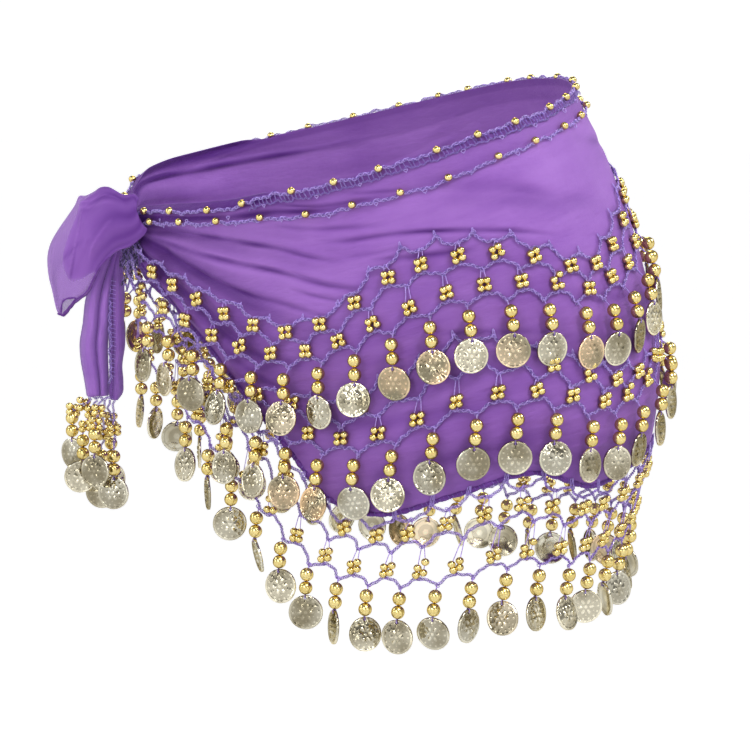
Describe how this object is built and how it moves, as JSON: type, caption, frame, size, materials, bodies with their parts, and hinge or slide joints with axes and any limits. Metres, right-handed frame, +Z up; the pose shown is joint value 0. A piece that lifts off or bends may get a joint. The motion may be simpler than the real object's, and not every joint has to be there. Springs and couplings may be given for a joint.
{
  "type": "hip scarf",
  "caption": "Coin hip scarf worn round the hips and tied at one side, a sheer panel with crochet net rows and beaded coin drops",
  "frame": {"origin": "centre of the ring that the scarf's top edge makes round the wearer's waist and hips, where the wearer holds it up", "axes": "+Z up the wearer's body, -Y the way the wearer faces, +X the wearer's left"},
  "size_m": [0.3615, 0.2773, 0.3246],
  "materials": {
    "hip_panel": "sheer violet chiffon with a soft sheen",
    "knot": "violet chiffon wound tight",
    "tie_flap": "sheer violet chiffon, puffed",
    "tie_tail": "sheer violet chiffon, pleated",
    "tail_tassel": "gold-coloured beads and coins on thread",
    "edge_chain": "blue-violet crochet thread",
    "belt_chain": "blue-violet crochet thread",
    "net_1_front": "blue-violet crochet thread",
    "net_1_back": "blue-violet crochet thread",
    "fringe_1": "gold-coloured beads and coins on a crochet chain",
    "net_2_front": "blue-violet crochet thread",
    "net_2_back": "blue-violet crochet thread",
    "fringe_2": "gold-coloured beads and coins on a crochet chain",
    "net_3_front": "blue-violet crochet thread",
    "net_3_back": "blue-violet crochet thread",
    "fringe_3": "gold-coloured beads and coins on a crochet chain"
  },
  "bodies": {
    "root": {"hip_panel": "hip_panel", "knot": "knot", "tie_flap": "tie_flap", "tie_tail": "tie_tail", "tail_tassel": "tail_tassel", "edge_chain": "edge_chain", "belt_chain": "belt_chain", "net_1_front": "net_1_front", "net_1_back": "net_1_back", "fringe_1": "fringe_1", "net_2_front": "net_2_front", "net_2_back": "net_2_back", "fringe_2": "fringe_2", "net_3_front": "net_3_front", "net_3_back": "net_3_back", "fringe_3": "fringe_3"}
  },
  "joints": []
}
